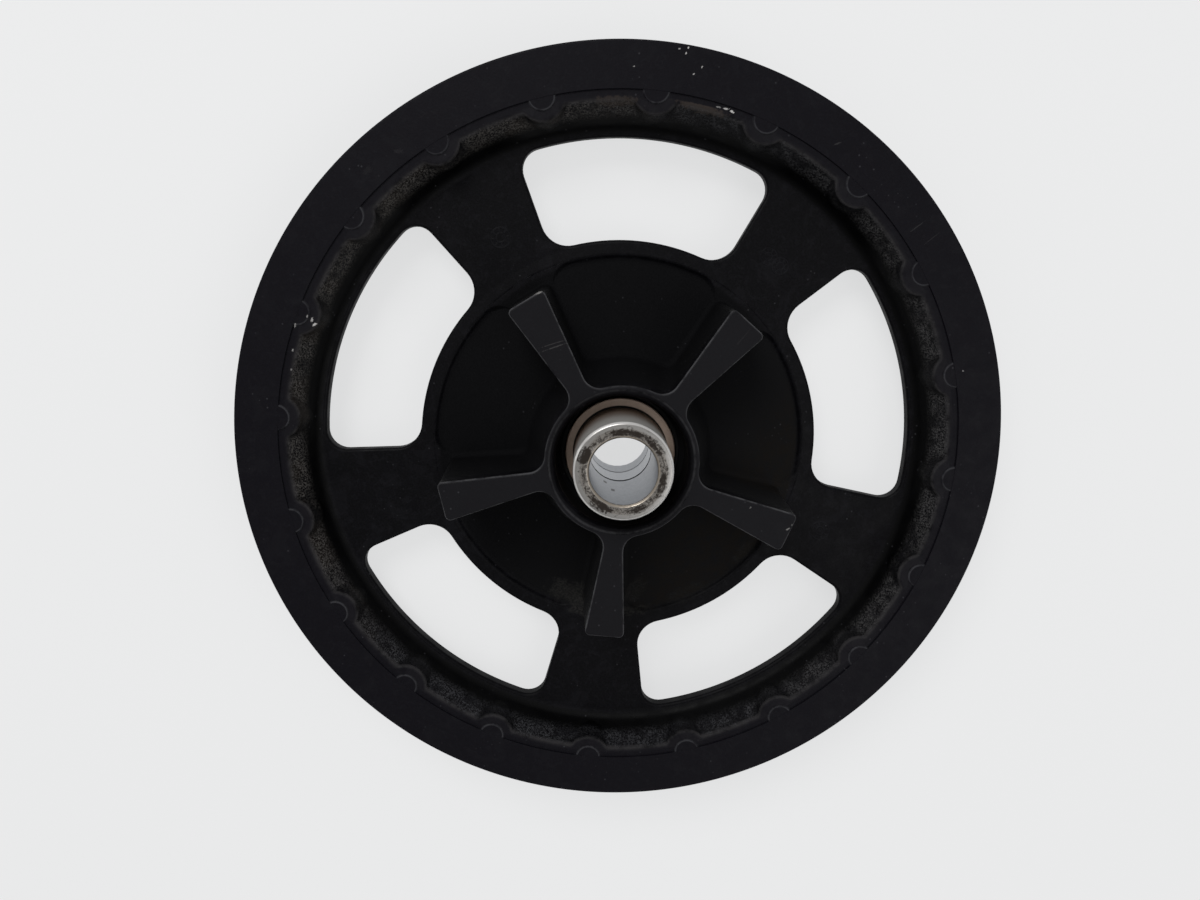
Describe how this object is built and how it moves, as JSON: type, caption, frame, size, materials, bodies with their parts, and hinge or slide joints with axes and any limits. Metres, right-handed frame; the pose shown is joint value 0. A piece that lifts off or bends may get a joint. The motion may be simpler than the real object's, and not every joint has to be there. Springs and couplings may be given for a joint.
{
  "type": "rear belt drive pulley",
  "caption": "Cast toothed belt pulley with windows, drive lugs, a sealed bearing and axle spacers, for the rear wheel of a motorcycle.",
  "frame": {"origin": "centre of the rim's rear face, on the axle axis, in the plane that the part rests on", "axes": "+Z along the axle towards the wheel side with the lugs, +Y towards the top of the picture"},
  "size_m": [0.31, 0.31, 0.0726],
  "materials": {
    "black_coated_aluminium": "satin black coating on cast and turned aluminium, worn and dusty",
    "turned_steel": "turned, stained brown in places",
    "bearing_steel": "ground",
    "phosphated_spring_steel": "black phosphate",
    "cage_nylon": "moulded nylon",
    "black_rubber": "matt"
  },
  "bodies": {
    "pulley": {"pulley_hub": "black_coated_aluminium", "pulley_web": "black_coated_aluminium", "pulley_rim": "black_coated_aluminium", "bearing_outer_race": "bearing_steel", "bearing_front_seal": "black_rubber", "bearing_rear_seal": "black_rubber", "retaining_ring": "phosphated_spring_steel", "dust_seal": "black_rubber"},
    "axle_set": {"bearing_inner_race": "bearing_steel", "wheel_side_spacer": "turned_steel", "outer_spacer": "turned_steel"},
    "ball_set": {"bearing_cage": "cage_nylon", "bearing_ball_01": "bearing_steel", "bearing_ball_02": "bearing_steel", "bearing_ball_03": "bearing_steel", "bearing_ball_04": "bearing_steel", "bearing_ball_05": "bearing_steel", "bearing_ball_06": "bearing_steel", "bearing_ball_07": "bearing_steel", "bearing_ball_08": "bearing_steel", "bearing_ball_09": "bearing_steel"}
  },
  "joints": [
    {"name": "axle_spin", "type": "hinge", "parent": "pulley", "child": "axle_set", "pos_m": [0, 0, 0.0275], "axis": [0, 0, 1], "continuous": true},
    {"name": "ball_orbit", "type": "hinge", "parent": "pulley", "child": "ball_set", "pos_m": [0, 0, 0.0275], "axis": [0, 0, 1], "continuous": true}
  ],
  "couplings": [
    {"joint": "ball_orbit", "follows": "axle_spin", "ratio": 0.3982}
  ]
}
